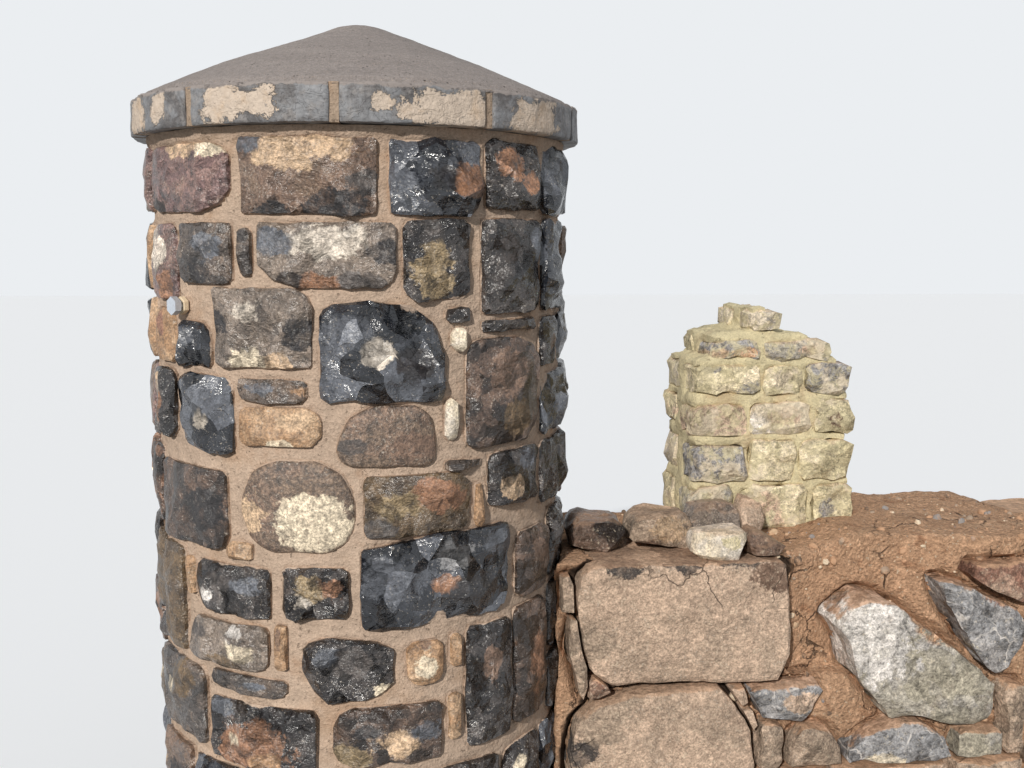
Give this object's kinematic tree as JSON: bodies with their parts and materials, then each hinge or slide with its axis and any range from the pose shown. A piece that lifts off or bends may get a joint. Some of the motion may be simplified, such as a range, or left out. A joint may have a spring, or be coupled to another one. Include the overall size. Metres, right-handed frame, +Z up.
{
  "type": "rubble boundary wall with round mortared end pillar",
  "caption": "Length of rough field-stone boundary wall that ends in a round mortared stone pillar with a ring coping and a low conical mortar cap.",
  "frame": {"origin": "centre of the round pillar's foot, on the ground", "axes": "+Z up along the pillar's axis, +X along the wall away from the pillar, -Y towards the seen face"},
  "size_m": [2.4999, 0.9, 1.968],
  "materials": {
    "pillar_mortar": "matte",
    "dark_fieldstone": "gloss",
    "coping_slate": "satin",
    "cap_mortar": "matte",
    "galvanised_steel": "satin",
    "limewashed_steel": "matte",
    "earth_hearting": "matte",
    "tan_sandstone": "matte",
    "gray_rubble": "matte",
    "wall_fieldstone": "matte",
    "lichen_stone": "matte"
  },
  "bodies": {
    "root": {"pillar_mortar_1": "pillar_mortar", "pillar_mortar_2": "pillar_mortar", "pillar_mortar_3": "pillar_mortar", "pillar_mortar_4": "pillar_mortar", "pillar_mortar_5": "pillar_mortar", "pillar_mortar_6": "pillar_mortar", "pillar_course_01": "dark_fieldstone", "pillar_course_02": "dark_fieldstone", "pillar_course_03": "dark_fieldstone", "pillar_course_04": "dark_fieldstone", "pillar_course_05": "dark_fieldstone", "pillar_course_06": "dark_fieldstone", "pillar_course_07": "dark_fieldstone", "pillar_course_08": "dark_fieldstone", "pillar_course_09": "dark_fieldstone", "pillar_course_10": "dark_fieldstone", "pillar_course_11": "dark_fieldstone", "pillar_course_12": "dark_fieldstone", "coping_stones": "coping_slate", "coping_mortar": "pillar_mortar", "mortar_cap": "cap_mortar", "fixing_nut": "limewashed_steel", "fixing_bolt": "galvanised_steel", "hearting_near": "earth_hearting", "hearting_lower": "earth_hearting", "hearting_upper": "earth_hearting", "wall_front_course_1": "wall_fieldstone", "wall_front_course_2": "wall_fieldstone", "wall_front_course_3": "wall_fieldstone", "wall_front_course_4": "wall_fieldstone", "wall_front_course_5": "wall_fieldstone", "wall_back_course_1": "wall_fieldstone", "wall_back_course_2": "wall_fieldstone", "wall_back_course_3": "wall_fieldstone", "wall_back_course_4": "wall_fieldstone", "wall_back_course_5": "wall_fieldstone", "upper_block": "tan_sandstone", "lower_block": "tan_sandstone", "rough_stones": "gray_rubble", "pinnings": "tan_sandstone", "end_stones": "gray_rubble", "top_stones": "tan_sandstone", "stub_masonry": "pillar_mortar", "stub_stones": "lichen_stone"}
  },
  "joints": []
}
